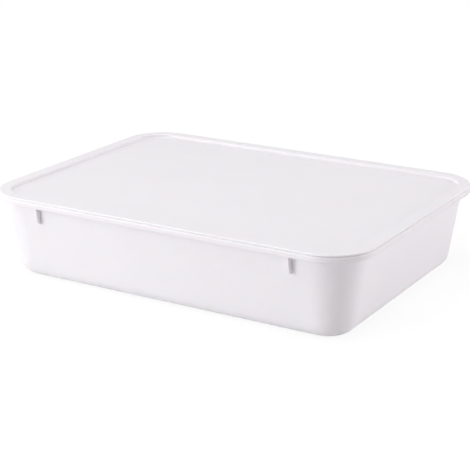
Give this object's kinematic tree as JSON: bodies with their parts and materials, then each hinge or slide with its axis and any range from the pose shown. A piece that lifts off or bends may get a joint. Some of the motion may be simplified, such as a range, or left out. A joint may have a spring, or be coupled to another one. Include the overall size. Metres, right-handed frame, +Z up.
{
  "type": "dough proofing container",
  "caption": "Shallow rectangular dough proofing box: a drafted white plastic tub with a turned-down rim and nesting ribs, and a loose lid whose recessed panel drops into its mouth.",
  "frame": {"origin": "on the surface that the tub stands on, under the middle of the closed container", "axes": "+X along the long side, +Z up out of the tub's mouth, the long wall that faces the viewer looks along -Y"},
  "size_m": [0.3708, 0.2728, 0.079],
  "materials": {
    "tub_plastic": "milky white moulded polypropylene with a fine satin surface",
    "lid_plastic": "milky white moulded polypropylene with a fine satin surface"
  },
  "bodies": {
    "tub": {"tub": "tub_plastic"},
    "lid": {"lid": "lid_plastic"}
  },
  "joints": [
    {"name": "lid_lift", "type": "slide", "parent": "tub", "child": "lid", "axis": [0, 0, 1], "range_m": [0, 0.15]}
  ]
}
